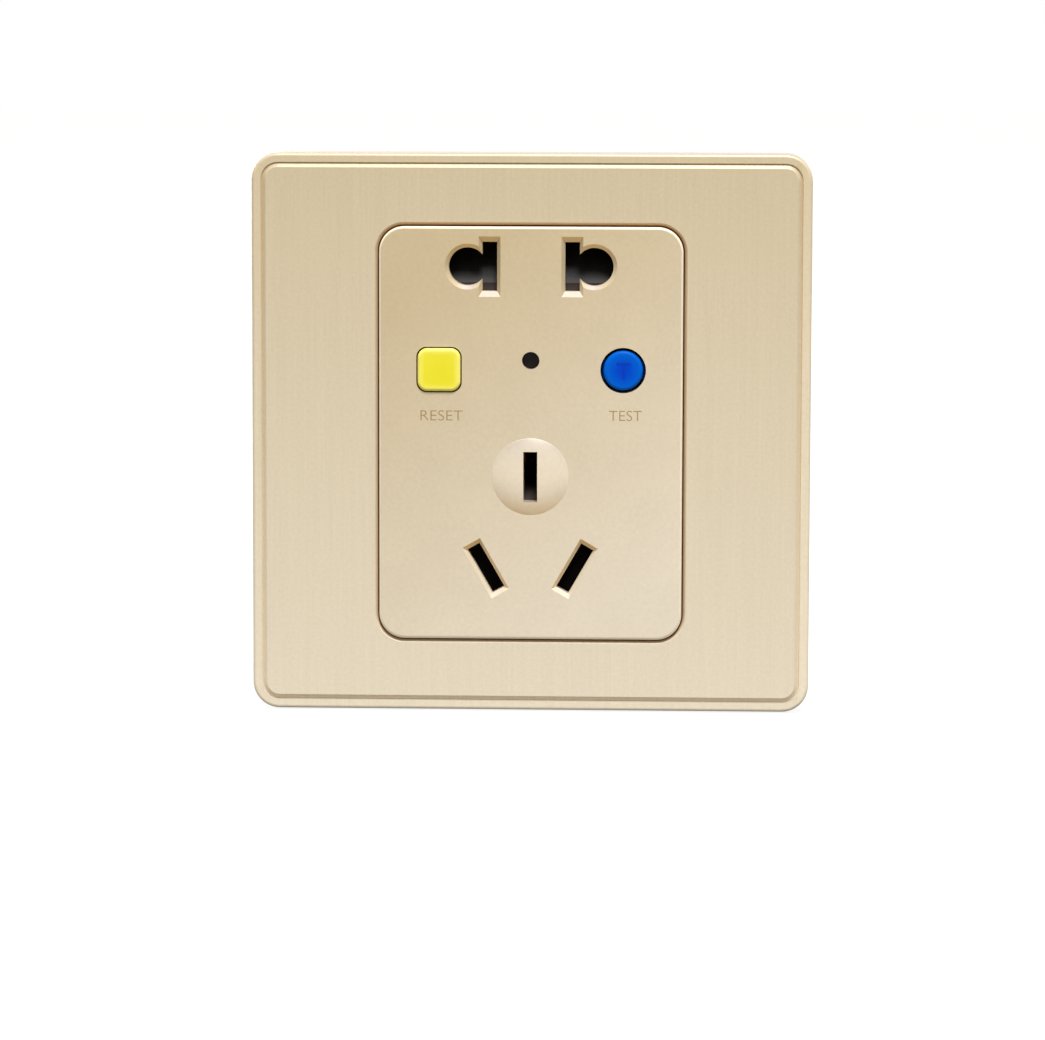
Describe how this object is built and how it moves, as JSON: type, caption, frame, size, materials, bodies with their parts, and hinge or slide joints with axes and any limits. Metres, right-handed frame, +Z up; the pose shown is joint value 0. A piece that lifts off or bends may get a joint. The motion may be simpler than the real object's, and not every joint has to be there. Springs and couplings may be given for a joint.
{
  "type": "rcd wall socket",
  "caption": "Square wall socket outlet with a two-pin and a three-pin socket, shutters, RESET and TEST buttons, an indicator and a residual-current trip.",
  "frame": {"origin": "centre of the two fixing slots, on the rear face of the mounting frame, which is the wall's surface", "axes": "+X to the right seen from the front, +Y into the wall, +Z up"},
  "size_m": [0.086, 0.0438, 0.086],
  "materials": {
    "plate_champagne": "brushed",
    "face_champagne": "satin",
    "yellow_plastic": "gloss",
    "blue_plastic": "gloss",
    "clear_plastic": "clear",
    "black_plastic": "satin",
    "white_plastic": "satin",
    "grey_plastic": "satin",
    "frame_plastic": "satin",
    "ivory_plastic": "satin",
    "brass": "stamped",
    "copper": "stamped",
    "winding": "enamelled",
    "zinc_steel": "zinc plated",
    "spring_steel": "bright",
    "iron": "machined",
    "board_green": "solder resist",
    "can_blue": "sleeved",
    "disc_blue": "dipped",
    "chip_black": "moulded",
    "resistor_tan": "lacquered",
    "led_green": "clear"
  },
  "bodies": {
    "base": {"front_plate": "plate_champagne", "socket_face": "face_champagne", "mounting_frame": "frame_plastic", "rear_housing": "white_plastic", "housing_screws": "zinc_steel", "shutter_retainer": "grey_plastic", "retainer_screws": "zinc_steel", "two_pin_springs": "spring_steel", "three_pin_springs": "spring_steel", "reset_spring": "spring_steel", "test_spring": "spring_steel", "light_guide": "clear_plastic", "contact_base": "white_plastic", "live_contact": "brass", "neutral_contact": "brass", "earth_contact": "brass", "carriage_springs": "spring_steel", "load_contacts": "copper", "live_conductor": "copper", "neutral_conductor": "copper", "coil_bobbin": "ivory_plastic", "coil_winding": "winding", "magnet_core": "iron", "magnet_yoke": "iron", "sensing_core": "iron", "sensing_winding": "winding", "circuit_board": "board_green", "smoothing_capacitor": "can_blue", "varistor": "disc_blue", "control_chip": "chip_black", "thyristor": "chip_black", "resistors": "resistor_tan", "diodes": "chip_black", "indicator_led": "led_green", "test_leaf": "brass", "test_post": "zinc_steel", "terminal_block": "white_plastic", "terminal_clamps": "brass", "terminal_screws": "zinc_steel"},
    "reset": {"reset_button": "yellow_plastic"},
    "carriage": {"contact_carriage": "grey_plastic", "armature": "iron", "live_bridge": "copper", "neutral_bridge": "copper"},
    "test": {"test_button": "blue_plastic"},
    "two_pin_slide": {"two_pin_shutter": "black_plastic"},
    "three_pin_slide": {"three_pin_shutter": "black_plastic"}
  },
  "joints": [
    {"name": "reset_press", "type": "slide", "parent": "base", "child": "reset", "axis": [0, 1, 0], "range_m": [0, 0.002], "stiffness_N_per_m": 300, "springref_m": -0.002, "deforming": ["reset_spring"]},
    {"name": "carriage_close", "type": "slide", "parent": "base", "child": "carriage", "axis": [0, 1, 0], "range_m": [0, 0.002], "stiffness_N_per_m": 200, "springref_m": -0.002, "deforming": ["carriage_springs"]},
    {"name": "test_press", "type": "slide", "parent": "base", "child": "test", "axis": [0, 1, 0], "range_m": [0, 0.0015], "stiffness_N_per_m": 300, "springref_m": -0.002, "deforming": ["test_spring"]},
    {"name": "two_pin_shutter_slide", "type": "slide", "parent": "base", "child": "two_pin_slide", "axis": [0, 0, -1], "range_m": [0, 0.00835], "stiffness_N_per_m": 60, "springref_m": -0.002, "deforming": ["two_pin_springs"]},
    {"name": "three_pin_shutter_slide", "type": "slide", "parent": "base", "child": "three_pin_slide", "axis": [0, 0, -1], "range_m": [0, 0.005], "stiffness_N_per_m": 80, "springref_m": -0.002, "deforming": ["three_pin_springs"]}
  ],
  "couplings": [
    {"joint": "carriage_close", "follows": "reset_press", "ratio": 1}
  ]
}
